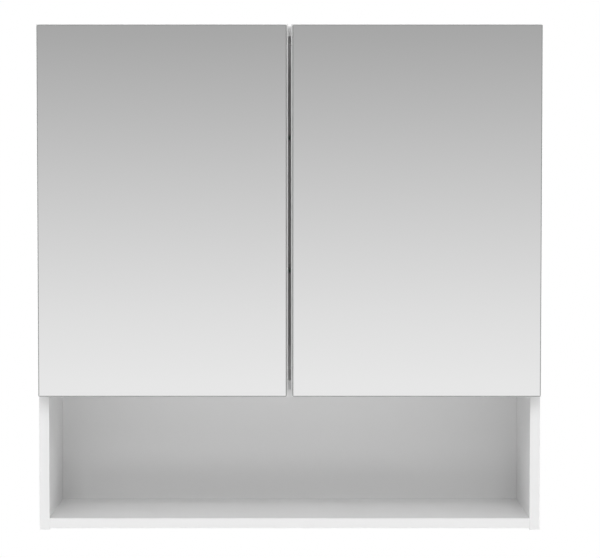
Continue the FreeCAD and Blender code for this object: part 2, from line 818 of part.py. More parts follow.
def hinge_cup(height):
    """A cup with its flange, open for the arm's hook, with holes for the pin and two screws."""
    body = doc.addObject("PartDesign::Body", "Cup")
    half_length = "(cup_screw_pitch / 2 + flange_end)"
    wing = sketch(body, "XY_Plane", "-cup_flange")
    rectangle(
        wing,
        ("cup_screw_offset - flange_width / 2", f"-{half_length}"),
        ("cup_screw_offset + flange_width / 2", half_length),
    )
    plate = pad(body, wing, "cup_flange")
    corners = body.newObject("PartDesign::Fillet", "Corners")
    corners.Base = (plate, upright_edges(plate))
    tie(corners, "Radius", "flange_corner")
    rim = sketch(body, "XY_Plane", "-cup_flange")
    circle(rim, ("0", "0"), "cup_diameter + 2 * cup_rim")
    pad(body, rim, "cup_flange")
    cup = sketch(body, "XY_Plane")
    circle(cup, ("0", "0"), "cup_diameter")
    pad(body, cup, CUP_DEPTH)
    pin_x = f"({PIN_X} - {CUP_X})"
    cavity = sketch(body, "XY_Plane", "-cup_flange")
    rectangle(
        cavity,
        (f"({pin_x} - {EYE_RADIUS} - arm_play)", "(-arm_width / 2 - arm_play)"),
        (f"({pin_x} + {ARM_REACH} + arm_play)", "(arm_width / 2 + arm_play)"),
    )
    pocket(body, cavity, f"cup_flange + {CAVITY_DEPTH}", backwards=True)
    holes = sketch(body, "XY_Plane", "-cup_flange")
    for side in SIDES:
        circle(holes, ("cup_screw_offset", f"({side} * cup_screw_pitch / 2)"), "screw_shank + 2 * screw_play")
    pocket(body, holes, "cup_flange", backwards=True)
    bearing = sketch(body, "XZ_Plane")
    circle(bearing, (pin_x, PIN_DEPTH), "pin_diameter")
    pocket(body, bearing, "2 * cup_diameter", through=True)
    return place(body, (CUP_X, DOOR_BACK, height), STANCES["upright"][0])


def hinge_arm(height):
    """A bent strip: an eye on the pin, a hook round the door's edge, and a channel over the plate's block."""
    low, high = f"({height} - arm_width / 2)", f"({height} + arm_width / 2)"
    bend_x = f"({PIN_X} + {ARM_SPINE} - arm_bend)"
    bend_y = f"({PIN_Y} + arm_bend)"
    inner_half = "(block_width / 2 + channel_play)"
    outer_half = f"({inner_half} + channel_wall)"
    bend = cut(
        rod((bend_x, bend_y, low), "arm_bend + arm_sheet / 2", "arm_width", QUARTER_BACK, "90"),
        rod((bend_x, bend_y, low), "arm_bend - arm_sheet / 2", "arm_width"),
    )
    whole = fuse(
        rod((PIN_X, PIN_Y, low), EYE_RADIUS, "arm_width"),
        span((PIN_X, f"{PIN_Y} - arm_sheet / 2", low), (bend_x, f"{PIN_Y} + arm_sheet / 2", high)),
        bend,
        span((ARM_X, bend_y, low), (f"{ARM_X} + arm_sheet", ARM_REAR, high)),
        span((f"{ARM_X} - {CHANNEL_DEPTH}", ARM_FRONT, f"{height} - {outer_half}"),
             (f"{ARM_X} + arm_sheet", ARM_REAR, f"{height} + {outer_half}")),
    )
    holes = [
        rod((ARM_X, line, height), "machine_shank / 2 + machine_play", "arm_sheet", TO_RIGHT)
        for line in (CLAMP_Y, ADJUSTER_Y)
    ]
    return cut(
        whole,
        span((f"{ARM_X} - {CHANNEL_DEPTH}", ARM_FRONT, f"{height} - {inner_half}"),
             (ARM_X, ARM_REAR, f"{height} + {inner_half}")),
        rod((PIN_X, PIN_Y, low), "pin_diameter / 2 + pin_play", "arm_width"),
        *holes,
    )


def hinge_plate(height):
    """A mounting plate on the side panel, with the block that carries the arm."""
    foot = f"({LEFT} + board)"
    half_span = "(plate_screw_pitch / 2 + plate_end)"
    base = Board(
        (foot, f"{PLATE_Y} - plate_length / 2", f"{height} - {half_span}"),
        "plate_length",
        f"(2 * {half_span})",
        "plate_sheet",
        "sideways",
        "plate_corner",
    )
    screws = [(PLATE_Y, f"({height} + {side} * plate_screw_pitch / 2)") for side in SIDES]
    base.drill(screws, "euro_shank + 2 * screw_play", "plate_sheet")
    block = span(
        (foot, f"{ARM_FRONT} + block_inset", f"{height} - block_width / 2"),
        (ARM_X, f"{ARM_REAR} - block_inset", f"{height} + block_width / 2"),
    )
    bores = [
        rod((f"{ARM_X} - machine_reach - drill_room", line, height),
            "machine_shank / 2 + machine_play", "machine_reach + drill_room", TO_RIGHT)
        for line in (CLAMP_Y, ADJUSTER_Y)
    ]
    return cut(fuse(base.body, block), *bores)


def hinges():
    """Two hinges on each door: fixed arms and plates, and cups and pins that swing with the door."""
    pins = []
    pin_half = f"(sqrt((cup_diameter / 2)^2 - ({CUP_X} - {PIN_X} + pin_diameter / 2)^2) - pin_room)"
    for end, height in HINGES.items():
        pair(f"{end}_hinge_plate", hinge_plate(height))
        pair(f"{end}_hinge_arm", hinge_arm(height))
        pair(f"{end}_hinge_cup", hinge_cup(height))
        pins.append(rod((PIN_X, PIN_Y, f"{height} - {pin_half}"), "pin_diameter / 2", f"2 * {pin_half}"))
    pair("hinge_pins", group(*pins))
    wood_screw = screw("screw_shank", "screw_bite + cup_flange", "screw_head", "screw_head_height")
    cup_screws = [
        ((CUP_SCREW_X, f"{DOOR_BACK} + cup_flange", f"{height} + {side} * cup_screw_pitch / 2"), TO_WALL)
        for height in HINGES.values() for side in SIDES
    ]
    pair("cup_screws", copies(wood_screw, cup_screws))
    euro_screw = screw("euro_shank", f"{SIDE_BITE} + plate_sheet", "euro_head", "euro_head_height")
    plate_screws = [
        ((f"{LEFT} + board + plate_sheet", PLATE_Y, f"{height} + {side} * plate_screw_pitch / 2"), TO_RIGHT)
        for height in HINGES.values() for side in SIDES
    ]
    left_plate_screws = copies(euro_screw, plate_screws)
    node(group(left_plate_screws, mirrored(left_plate_screws)), "plate_screws")
    machine_screw = screw("machine_shank", "machine_reach + arm_sheet", "machine_head", "machine_head_height")
    for label, line in (("clamp_screws", CLAMP_Y), ("adjusting_screws", ADJUSTER_Y)):
        spots = [((f"{ARM_X} + arm_sheet", line, height), TO_RIGHT) for height in HINGES.values()]
        left_screws = copies(machine_screw, spots)
        node(group(left_screws, mirrored(left_screws)), label)


def catches():
    """Magnetic catches under the top panel, and the strike plates on the doors."""
    half = "(catch_width / 2)"
    under = f"({TOP_UNDER} - catch_height)"
    stack = "(magnet_height + 2 * pole_sheet)"
    low, high = f"({CATCH_MIDDLE} - {stack} / 2)", f"({CATCH_MIDDLE} + {stack} / 2)"
    left_x, right_x = f"({CATCH_X} - {MAGNET_WIDTH} / 2)", f"({CATCH_X} + {MAGNET_WIDTH} / 2)"
    catch_rear = f"({CATCH_FRONT} + catch_depth)"
    ears = [
        rod((f"{CATCH_X} + {side} * {CATCH_EAR_X}", f"{CATCH_FRONT} + catch_depth / 2", TOP_UNDER),
            "screw_shank / 2 + screw_play", "ear_sheet", TO_FLOOR)
        for side in SIDES
    ]
    housing = cut(
        fuse(
            span((f"{CATCH_X} - {half}", CATCH_FRONT, under), (f"{CATCH_X} + {half}", catch_rear, TOP_UNDER)),
            span((f"{CATCH_X} - {half} - catch_ear", CATCH_FRONT, f"{TOP_UNDER} - ear_sheet"),
                 (f"{CATCH_X} + {half} + catch_ear", catch_rear, TOP_UNDER)),
        ),
        span((left_x, CATCH_FRONT, low), (right_x, MAGNET_REAR, high)),
        *ears,
    )
    pair("catch_housing", housing)
    magnet = span(
        (left_x, CATCH_FRONT, f"{low} + pole_sheet"),
        (right_x, MAGNET_REAR, f"{high} - pole_sheet"),
    )
    node(group(magnet, mirrored(magnet)), "catch_magnets")
    pole_face = f"({DOOR_BACK} + strike_sheet + pole_gap)"
    poles = group(
        span((left_x, pole_face, low), (right_x, MAGNET_REAR, f"{low} + pole_sheet")),
        span((left_x, pole_face, f"{high} - pole_sheet"), (right_x, MAGNET_REAR, high)),
    )
    node(group(poles, mirrored(poles)), "catch_poles")
    catch_screw = screw("screw_shank", "screw_bite + ear_sheet", "screw_head", "screw_head_height")
    ear_middle, ear_under = f"{CATCH_FRONT} + catch_depth / 2", f"{TOP_UNDER} - ear_sheet"
    spots = [((f"{CATCH_X} + {side} * {CATCH_EAR_X}", ear_middle, ear_under), TO_FLOOR) for side in SIDES]
    left_screws = copies(catch_screw, spots)
    node(group(left_screws, mirrored(left_screws)), "catch_screws")
    half_strike = "(strike_screw_pitch / 2 + strike_end)"
    strike = Board(
        (f"{CATCH_X} - {half_strike}", f"{DOOR_BACK} + strike_sheet", f"{CATCH_MIDDLE} - strike_height / 2"),
        f"(2 * {half_strike})",
        "strike_height",
        "strike_sheet",
        "upright",
        "strike_corner",
    )
    holes = [(f"({CATCH_X} + {side} * strike_screw_pitch / 2)", CATCH_MIDDLE) for side in SIDES]
    strike.drill(holes, "screw_shank + 2 * screw_play", "strike_sheet")
    pair("strike_plate", strike.body)
    strike_screw = screw("screw_shank", "screw_bite + strike_sheet", "wafer_head", "wafer_height")
    spots = [((x, f"{DOOR_BACK} + strike_sheet", z), TO_WALL) for x, z in holes]
    pair("strike_screws", copies(strike_screw, spots))


def write_parts():
    """Check the whole document, then write each piece to its own file."""
    doc.recompute()
    for obj in doc.Objects:
        if {"Invalid", "Error"} & set(obj.State):
            raise RuntimeError(f"{obj.Label} failed: {obj.State}")
    for obj in nodes:
        if obj.Shape.isNull() or not obj.Shape.isValid():
            raise RuntimeError(f"{obj.Label} has no valid shape")
    os.makedirs("parts", exist_ok=True)
    for obj in nodes:
        obj.Shape.exportStep(f"parts/{obj.Label}.step")
    print(f"{len(nodes)} pieces written")


side_panels()
cross_boards()
back_and_rail()
hangers()
board_fittings()
shelves()
door()
hinges()
catches()
write_parts()
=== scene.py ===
"""Looks of a bathroom mirror cabinet: the finishes of its pieces, and the stage that shows it.

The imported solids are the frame, in metres: the wall is the plane y = 0, the front faces -Y and +Z is up.
"""
import json
import math
from typing import NamedTuple

import bmesh
import bpy
from bpy.props import FloatProperty, FloatVectorProperty, PointerProperty
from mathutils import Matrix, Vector


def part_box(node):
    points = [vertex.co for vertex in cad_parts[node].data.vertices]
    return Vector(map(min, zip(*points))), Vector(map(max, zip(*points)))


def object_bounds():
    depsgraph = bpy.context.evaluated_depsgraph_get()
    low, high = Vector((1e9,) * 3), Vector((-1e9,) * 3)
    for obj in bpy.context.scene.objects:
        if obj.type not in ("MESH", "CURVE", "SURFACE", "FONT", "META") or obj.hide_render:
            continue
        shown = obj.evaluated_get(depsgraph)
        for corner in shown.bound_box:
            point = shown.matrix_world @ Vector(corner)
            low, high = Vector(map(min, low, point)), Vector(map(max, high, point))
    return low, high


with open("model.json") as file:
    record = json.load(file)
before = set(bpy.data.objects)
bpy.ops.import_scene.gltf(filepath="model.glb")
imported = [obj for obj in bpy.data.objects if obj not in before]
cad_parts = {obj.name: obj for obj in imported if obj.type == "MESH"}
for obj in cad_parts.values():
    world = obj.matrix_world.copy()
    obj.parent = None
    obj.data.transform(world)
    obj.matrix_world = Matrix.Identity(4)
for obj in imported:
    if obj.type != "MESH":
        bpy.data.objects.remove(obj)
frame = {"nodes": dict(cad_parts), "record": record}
CAD_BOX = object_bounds()

bl_info = {
    "name": "Mirror Cabinet Looks",
    "version": (1, 0, 0),
    "blender": (4, 5, 0),
    "location": "3D View > Sidebar > Cabinet",
    "description": "Gives a bathroom mirror cabinet its finishes, light and camera",
    "category": "Material",
}

# The photograph's width in pixels, and the camera that was fitted to its edges
PHOTO_WIDTH = 600
FOCAL_PIXELS = 2285.4
PRINCIPAL_X = 291.56
FILM_WIDTH = 36.0

# Boards with laminate on two faces, and the axis that runs through their thickness
BOARDS = {
    "left_side_panel": "X",
    "right_side_panel": "X",
    "top_panel": "Z",
    "compartment_floor": "Z",
    "bottom_panel": "Z",
    "left_door_board": "Y",
    "right_door_board": "Y",
}
SIDES = ("left", "right")
HINGE_ENDS = ("upper", "lower")
HINGE_PRESSINGS = ("cup", "arm", "plate")
SHELVES = ("lower_shelf", "upper_shelf")
SCREWS = (
    "hanger_screws",
    "plate_screws",
    "clamp_screws",
    "adjusting_screws",
    "catch_screws",
    "cam_bolts",
)

# Corners of a piece's box, in the order that the frame gives them
LOWEST, HIGHEST = 0, 1

# Directions on the cabinet, as the normals of its faces
FORWARD = (0.0, -1.0, 0.0)
BACKWARD = (0.0, 1.0, 0.0)
UPWARD = (0.0, 0.0, 1.0)
DOWNWARD = (0.0, 0.0, -1.0)

# Cosine of the angle within which a surface still faces a direction
FACING_COSINE = 0.9

WHITE = (1.0, 1.0, 1.0)
BLACK = (0.0, 0.0, 0.0)


class Grain(NamedTuple):
    """What a grain does: its darkest shade, the roughness at both its ends and its depth in metres."""

    shade: float = 1.0
    rough: tuple = (0.5, 0.5)
    depth: float = 0.0


LAMINATE = Grain(shade=0.985, rough=(0.40, 0.50), depth=0.00004)
EDGE_BAND = Grain(shade=0.99, rough=(0.34, 0.44), depth=0.00003)
LACQUER = Grain(shade=0.985, rough=(0.40, 0.48))
HARDBOARD = Grain(shade=0.55, rough=(0.62, 0.80), depth=0.00005)
CHIPBOARD = Grain(rough=(0.95, 0.80), depth=0.0001)
ARRIS = Grain(shade=0.9, rough=(0.35, 0.5))
PLATING = Grain(shade=0.86, depth=0.00001)
MOULDING = Grain(shade=0.96, depth=0.00003)
FOAM = Grain(shade=0.75, rough=(0.95, 0.85), depth=0.0002)
BEECH = Grain(shade=0.72, rough=(0.55, 0.7), depth=0.00005)
RUBBER = Grain(shade=0.97, rough=(0.18, 0.30))
FLOOR = Grain(shade=0.98, rough=(0.75, 0.85))

# Middle roughness of the metals and mouldings by finish, and how far their grain takes it either way
MIDDLE_ROUGHNESS = {
    "nickel_supports": 0.22,
    "nickel_hinges": 0.26,
    "steel_pins": 0.16,
    "zinc_screws": 0.30,
    "die_cast_cams": 0.45,
    "zinc_strikes": 0.28,
    "zinc_hangers": 0.34,
    "white_catches": 0.42,
    "ferrite_magnets": 0.55,
}
ROUGHNESS_SWING = 0.06

# What handling does: roughness of a handled laminate, and what it adds to mirrors, glass and metal
HANDLED_LAMINATE = 0.36
HANDLED_MIRROR = 0.012
HANDLED_GLASS = 0.03
HANDLED_METAL = 0.12

# Roughness of raw board edges and of the shelves' edges, and how the glass and the bumpers let light through
RAW_EDGE_ROUGHNESS = 0.9
GLASS_EDGE_ROUGHNESS = 0.45
GLASS_IOR = 1.52
RUBBER_IOR = 1.45
RUBBER_CLEARNESS = 0.85

# Part of a noise's range that becomes the whole range of a pattern
SMUDGE_RANGE = (0.45, 0.75)
FLECK_RANGE = (0.3, 0.7)
CLOUD_RANGE = (0.35, 0.85)
PORE_RANGE = (0.3, 0.6)
FIBRE_RANGE = (0.3, 0.7)

# Peel of an edge band by the boards' peel, and beech fibres per metre along the dowels and across them
BAND_PEEL = 0.7
BEECH_FIBRES = (60.0, 900.0, 900.0)

# Grey of the studio that mirrors and metal show, by the sine of a direction's height over the horizon
STUDIO_GREYS = (
    (-1.0, 0.50),
    (-0.45, 0.60),
    (-0.28, 0.76),
    (-0.15, 0.90),
    (-0.096, 0.859),
    (-0.065, 0.786),
    (-0.022, 0.657),
    (0.022, 0.522),
    (0.061, 0.409),
    (0.13, 0.33),
    (0.45, 0.45),
    (1.0, 0.85),
)

# Share of the studio's brightest light that comes from each height, by the same sine
STUDIO_LIGHT = (
    (-1.0, 0.17),
    (-0.70, 0.20),
    (-0.40, 0.28),
    (-0.36, 0.85),
    (-0.19, 0.88),
    (-0.09, 0.25),
    (-0.04, 0.09),
    (0.25, 0.09),
    (0.36, 0.25),
    (0.52, 0.50),
    (0.58, 1.0),
    (0.72, 1.0),
    (0.80, 0.10),
    (1.0, 0.08),
)

# Width and height of the key lamp in metres, and the number of straight runs round the floor's rim
KEY_SIZE = (1.6, 1.5)
FLOOR_SEGMENTS = 96

# Spots that shine in between the doors: degrees over the horizon, strength by the level spot's power, and
# the corner of the compartment floor's box down to which the beam goes
SPOTS = {
    "level_spot": {"degrees": 0.0, "strength": 1.0, "foot": LOWEST},
    "high_spot": {"degrees": 70.0, "strength": 2.1, "foot": HIGHEST},
    "low_spot": {"degrees": -70.0, "strength": 1.6, "foot": HIGHEST},
}

# Radius of a spot in metres, its cone by the opening that it lights, and the soft share of its beam
SPOT_RADIUS = 0.0045
SPOT_CONE = 1.1
SPOT_EDGE = 0.02

# Sockets of a Mix node by its data type: factor, both ends and the result
MIX_SOCKETS = {"RGBA": (0, 6, 7, 2), "FLOAT": (0, 2, 3, 0)}


def colour(name, words, default):
    """A colour that a user may change."""
    return FloatVectorProperty(
        name=name, description=words, default=default, subtype="COLOR", size=3, min=0.0, max=1.0
    )


def length(name, words, default):
    """A length in metres that a user may change."""
    return FloatProperty(
        name=name,
        description=words,
        default=default,
        min=0.0,
        precision=5,
        subtype="DISTANCE",
        unit="LENGTH",
    )


def share(name, words, default):
    """A share between nought and one that a user may change."""
    return FloatProperty(
        name=name, description=words, default=default, min=0.0, max=1.0, subtype="FACTOR"
    )


def angle(name, words, degrees):
    """An angle that a user may change."""
    return FloatProperty(
        name=name, description=words, default=math.radians(degrees), subtype="ANGLE", unit="ROTATION"
    )


def power(name, words, default):
    """The power of a lamp that a user may change."""
    return FloatProperty(
        name=name, description=words, default=default, min=0.0, subtype="POWER", unit="POWER"
    )


class CabinetFinish(bpy.types.PropertyGroup):
    """Colours and grain sizes of the cabinet's surfaces."""

    laminate: colour("Laminate", "White melamine on the boards and their edge bands", (0.83, 0.83, 0.83))
    chip_pale: colour("Pale Chips", "Lighter chips in the raw board", (0.62, 0.47, 0.30))
    chip_dark: colour("Dark Chips", "Darker chips in the raw board", (0.36, 0.24, 0.13))
    fibre: colour("Hardboard", "Raw rear side of the thin back", (0.36, 0.24, 0.14))
    silver: colour("Silver", "Silvered glass of the mirrors", (0.93, 0.93, 0.93))
    # Dark grey of the mirrors' ground arris: partly the grey of ground glass, partly painted shade and
    # reflection along their edges
    ground_edge_and_painted_shade: colour("Ground Edge", "Ground arris round the mirrors", (0.28, 0.29, 0.285))
    backing: colour("Mirror Backing", "Paint behind the silver", (0.30, 0.32, 0.33))
    glass: colour("Shelf Glass", "Faces of the glass shelves", (0.97, 0.99, 0.98))
    glass_edge: colour("Shelf Edge", "Edges of the glass shelves", (0.70, 0.94, 0.85))
    nickel: colour("Nickel", "Plating of the hinges and shelf supports", (0.66, 0.64, 0.60))
    zinc: colour("Zinc", "Plating of the sheet metal and screws", (0.62, 0.63, 0.65))
    die_cast: colour("Die-cast Zinc", "Bare cam housings", (0.46, 0.46, 0.46))
    pin: colour("Pin Steel", "Bright hinge pins", (0.70, 0.70, 0.70))
    beech: colour("Beech", "Fluted dowels", (0.66, 0.46, 0.27))
    plastic: colour("White Plastic", "Catch housings", (0.80, 0.80, 0.79))
    foam: colour("Foam Tape", "Tape behind the mirrors", (0.72, 0.72, 0.70))
    bumper: colour("Bumper", "Clear soft door bumpers", (0.95, 0.96, 0.96))
    ferrite: colour("Ferrite", "Magnets in the catches", (0.045, 0.045, 0.05))
    skin: length("Laminate Skin", "Thickness of the laminate on a board", 0.00025)
    peel: length("Laminate Peel", "Size of the fine dimples in the laminate", 0.0011)
    chip: length("Chip Size", "Size of the chips in the raw board", 0.0022)
    plating: length("Plating Grain", "Size of the fine grain in plated metal", 0.0006)
    fleck: length("Fleck Size", "Size of the fibre flecks in hardboard and of the pores in foam", 0.0015)
    cloud: length("Cloud Size", "Size of the cloudy patches in hardboard", 0.03)
    smudge: length("Smudge Size", "Size of the marks that hands leave", 0.07)


class CabinetStage(bpy.types.PropertyGroup):
    """Light, floor and camera that show the cabinet."""

    studio_level: FloatProperty(
        name="Studio Level", description="Strength of the studio's brightest light", default=2.3, min=0.0
    )
    studio_rear: share("Studio Rear", "Share of that light which comes from behind", 0.55)
    key_power: power("Key Power", "Power of the soft key lamp in front", 17.0)
    key_height: angle("Key Height", "Height of the key lamp over the horizon", 30.0)
    key_distance: length("Key Distance", "Distance of the key lamp from the cabinet", 3.2)
    spot_power: power("Spot Power", "Power of the level spot that shines in between the doors", 10.3)
    spot_distance: length("Spot Distance", "Distance of the spots from the doors' opening", 1.5)
    floor_drop: length("Floor Drop", "Distance of the floor under the cabinet", 1.2)
    floor_radius: length("Floor Radius", "Radius of the floor", 1.6)
    floor_clear: length("Floor Clear", "Radius within which the floor keeps its own grey", 0.8)
    floor_grey: colour("Floor Grey", "Pale floor", (0.78, 0.78, 0.78))
    camera_place: FloatVectorProperty(
        name="Camera Place",
        description="Place of the camera",
        default=(0.00237, -2.90175, -0.1191),
        precision=5,
        subtype="XYZ",
        unit="LENGTH",
    )
    camera_tilt: angle("Camera Tilt", "How far the camera looks down", 2.821)


def looks():
    """The colours and grain sizes that the scene holds now."""
    return bpy.context.scene.cabinet_finish


def rgba(tint, level=1.0):
    """A colour at a level of its own brightness, with full cover."""
    return (*(level * part for part in tint), 1.0)


def wire(tree, socket, value):
    """Give an input socket a value, or link another node's output to it."""
    if isinstance(value, bpy.types.NodeSocket):
        tree.links.new(value, socket)
    else:
        socket.default_value = value


def add(tree, kind, sockets, **settings):
    """Add a node to a tree, with its settings and its input sockets."""
    made = tree.nodes.new(kind)
    for name, setting in settings.items():
        setattr(made, name, setting)
    for name, value in sockets.items():
        wire(tree, made.inputs[name], value)
    return made


def maths(tree, operation, first, second=0.0):
    """The output of an operation on one or two values."""
    return add(tree, "ShaderNodeMath", {0: first, 1: second}, operation=operation).outputs[0]


def spread(tree, value, low, high, start=0.0, stop=1.0):
    """A value that runs from low to high while another runs from start to stop."""
    sockets = {"Value": value, "From Min": start, "From Max": stop, "To Min": low, "To Max": high}
    return add(tree, "ShaderNodeMapRange", sockets).outputs["Result"]


def stretch(tree, value, ends):
    """A value whose range between two ends is stretched to the whole of nought to one."""
    return spread(tree, value, 0.0, 1.0, *ends)


def between(tree, factor, first, second, kind="RGBA"):
    """A colour or a value between two others."""
    *ends, result = MIX_SOCKETS[kind]
    sockets = dict(zip(ends, (factor, first, second)))
    return add(tree, "ShaderNodeMix", sockets, data_type=kind).outputs[result]


def parts_of(tree, vector):
    """The three numbers of a vector, by the letter of their axis."""
    return add(tree, "ShaderNodeSeparateXYZ", {"Vector": vector}).outputs


def begin_group(name, inputs, outputs):
    """A new shader node group with named sockets, its inner input sockets and its output sockets."""
    tree = bpy.data.node_groups.new(name, "ShaderNodeTree")
    for in_out, sockets in (("INPUT", inputs), ("OUTPUT", outputs)):
        for socket, kind in sockets.items():
            tree.interface.new_socket(socket, in_out=in_out, socket_type=f"NodeSocket{kind}")
    return tree, tree.nodes.new("NodeGroupInput").outputs, tree.nodes.new("NodeGroupOutput").inputs


def fine_grain():
    """Small even dimples."""
    tree, given, wanted = begin_group(
        "Fine Grain", {"Coordinates": "Vector", "Scale": "Float"}, {"Value": "Float"}
    )
    noise = add(
        tree,
        "ShaderNodeTexNoise",
        {"Vector": given["Coordinates"], "Scale": given["Scale"], "Detail": 3.0, "Roughness": 0.55},
    )
    wire(tree, wanted["Value"], noise.outputs["Fac"])


def handling_marks():
    """Wide soft smudges, as a mask."""
    tree, given, wanted = begin_group(
        "Handling Marks", {"Coordinates": "Vector", "Scale": "Float"}, {"Mask": "Float"}
    )
    noise = add(
        tree,
        "ShaderNodeTexNoise",
        {
            "Vector": given["Coordinates"],
            "Scale": given["Scale"],
            "Detail": 4.0,
            "Roughness": 0.6,
            "Distortion": 0.5,
        },
    )
    wire(tree, wanted["Mask"], stretch(tree, noise.outputs["Fac"], SMUDGE_RANGE))


def raw_board():
    """Pressed chips of pale and dark wood."""
    tree, given, wanted = begin_group(
        "Raw Board",
        {"Coordinates": "Vector", "Scale": "Float", "Pale": "Color", "Dark": "Color"},
        {"Color": "Color", "Height": "Float"},
    )
    pattern = {"Vector": given["Coordinates"], "Scale": given["Scale"]}
    chips = add(tree, "ShaderNodeTexVoronoi", pattern)
    chip = add(tree, "ShaderNodeSeparateColor", {"Color": chips.outputs["Color"]}).outputs
    dust = add(tree, "ShaderNodeTexNoise", {**pattern, "Detail": 5.0})
    shade = maths(tree, "MULTIPLY", chip["Red"], dust.outputs["Fac"])
    wire(tree, wanted["Color"], between(tree, shade, given["Pale"], given["Dark"]))
    wire(tree, wanted["Height"], maths(tree, "SUBTRACT", chip["Green"], chips.outputs["Distance"]))


def board_skin():
    """A mask that is one on a board's two laminated faces, and nought on its edges and in its holes."""
    tree, given, wanted = begin_group(
        "Board Skin", {"Place": "Float", "Middle": "Float", "Core": "Float"}, {"Mask": "Float"}
    )
    offset = maths(tree, "ABSOLUTE", maths(tree, "SUBTRACT", given["Place"], given["Middle"]))
    wire(tree, wanted["Mask"], maths(tree, "GREATER_THAN", offset, given["Core"]))


def facing():
    """A mask that is one where a surface faces a direction."""
    tree, given, wanted = begin_group(
        "Facing", {"Normal": "Vector", "Direction": "Vector"}, {"Mask": "Float"}
    )
    sockets = {0: given["Normal"], 1: given["Direction"]}
    cosine = add(tree, "ShaderNodeVectorMath", sockets, operation="DOT_PRODUCT").outputs["Value"]
    wire(tree, wanted["Mask"], maths(tree, "GREATER_THAN", cosine, FACING_COSINE))


EFFECTS = {
    "Fine Grain": fine_grain,
    "Handling Marks": handling_marks,
    "Raw Board": raw_board,
    "Board Skin": board_skin,
    "Facing": facing,
}


def effect(tree, name, sockets):
    """The outputs of a shared effect, whose group is built the first time that it is used."""
    if name not in bpy.data.node_groups:
        EFFECTS[name]()
    return add(tree, "ShaderNodeGroup", sockets, node_tree=bpy.data.node_groups[name]).outputs


class Finish:
    """A material that is being made, its node tree and the coordinates of the piece that wears it."""

    def __init__(self, name):
        self.material = bpy.data.materials.new(name)
        self.material.use_nodes = True
        self.tree = self.material.node_tree
        self.surface = self.tree.nodes["Principled BSDF"]
        coordinates = self.tree.nodes.new("ShaderNodeTexCoord").outputs
        self.place = coordinates["Object"]
        self.normal = coordinates["Normal"]

    def grain(self, size):
        """Fine dimples of a size."""
        sockets = {"Coordinates": self.place, "Scale": 1.0 / size}
        return effect(self.tree, "Fine Grain", sockets)["Value"]

    def marks(self):
        """The smudges that hands leave."""
        sockets = {"Coordinates": self.place, "Scale": 1.0 / looks().smudge}
        return effect(self.tree, "Handling Marks", sockets)["Mask"]

    def raw(self):
        """The colour and height of raw board."""
        sockets = {
            "Coordinates": self.place,
            "Scale": 1.0 / looks().chip,
            "Pale": rgba(looks().chip_pale),
            "Dark": rgba(looks().chip_dark),
        }
        return effect(self.tree, "Raw Board", sockets)

    def faces(self, *directions):
        """A mask of the faces that point in any of some directions."""
        masks = [
            effect(self.tree, "Facing", {"Normal": self.normal, "Direction": direction})["Mask"]
            for direction in directions
        ]
        whole = masks[0]
        for mask in masks[1:]:
            whole = maths(self.tree, "MAXIMUM", whole, mask)
        return whole

    def tinted(self, tint, value, shade):
        """A colour that runs from a darker shade to itself with a value."""
        return between(self.tree, value, rgba(tint, shade), rgba(tint))

    def relief(self, height, depth):
        """Normals from a height of some depth in metres."""
        sockets = {"Height": height, "Distance": depth, "Strength": 1.0}
        return add(self.tree, "ShaderNodeBump", sockets).outputs["Normal"]

    def done(self, **sockets):
        """Fill the surface's sockets, named with underscores, and hand the material over."""
        for name, value in sockets.items():
            wire(self.tree, self.surface.inputs[name.replace("_", " ")], value)
        return self.material


def laminated_board(node, axis):
    """White melamine on a board's two faces, and raw chips on its edges and in its holes."""
    made = Finish(f"melamine_{node}")
    tree = made.tree
    low, high = (getattr(corner, axis.lower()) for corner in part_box(node))
    skin = effect(
        tree,
        "Board Skin",
        {
            "Place": parts_of(tree, made.place)[axis],
            "Middle": (low + high) / 2,
            "Core": (high - low) / 2 - looks().skin,
        },
    )["Mask"]
    peel = made.grain(looks().peel)
    raw = made.raw()
    white = made.tinted(looks().laminate, peel, LAMINATE.shade)
    fresh = spread(tree, peel, *LAMINATE.rough)
    satin = between(tree, made.marks(), fresh, HANDLED_LAMINATE, "FLOAT")
    height = between(tree, skin, raw["Height"], peel, "FLOAT")
    return made.done(
        Base_Color=between(tree, skin, raw["Color"], white),
        Roughness=between(tree, skin, RAW_EDGE_ROUGHNESS, satin, "FLOAT"),
        Normal=made.relief(height, LAMINATE.depth),
    )


def edge_band():
    """White plastic band with a finer, shinier face than the boards have."""
    made = Finish("edge_band_white")
    peel = made.grain(BAND_PEEL * looks().peel)
    return made.done(
        Base_Color=made.tinted(looks().laminate, peel, EDGE_BAND.shade),
        Roughness=spread(made.tree, peel, *EDGE_BAND.rough),
        Normal=made.relief(peel, EDGE_BAND.depth),
    )


def hardboard():
    """Thin back: white lacquer in front, brown fibres behind and on its edges."""
    made = Finish("hardboard_lacquered")
    tree = made.tree
    front = made.faces(FORWARD)
    fleck = made.grain(looks().fleck)
    flecks = stretch(tree, fleck, FLECK_RANGE)
    cloud = between(tree, made.grain(looks().cloud), flecks, 1.0, "FLOAT")
    raw = made.tinted(looks().fibre, stretch(tree, cloud, CLOUD_RANGE), HARDBOARD.shade)
    lacquer = made.tinted(looks().laminate, made.grain(looks().peel), LACQUER.shade)
    dull = spread(tree, fleck, *HARDBOARD.rough)
    satin = spread(tree, fleck, *LACQUER.rough)
    return made.done(
        Base_Color=between(tree, front, raw, lacquer),
        Roughness=between(tree, front, dull, satin, "FLOAT"),
        Normal=made.relief(fleck, HARDBOARD.depth),
    )


def chipboard():
    """Bare pressed chips of the hanging rail."""
    made = Finish("chipboard_raw")
    raw = made.raw()
    return made.done(
        Base_Color=raw["Color"],
        Roughness=spread(made.tree, raw["Height"], *CHIPBOARD.rough),
        Normal=made.relief(raw["Height"], CHIPBOARD.depth),
    )


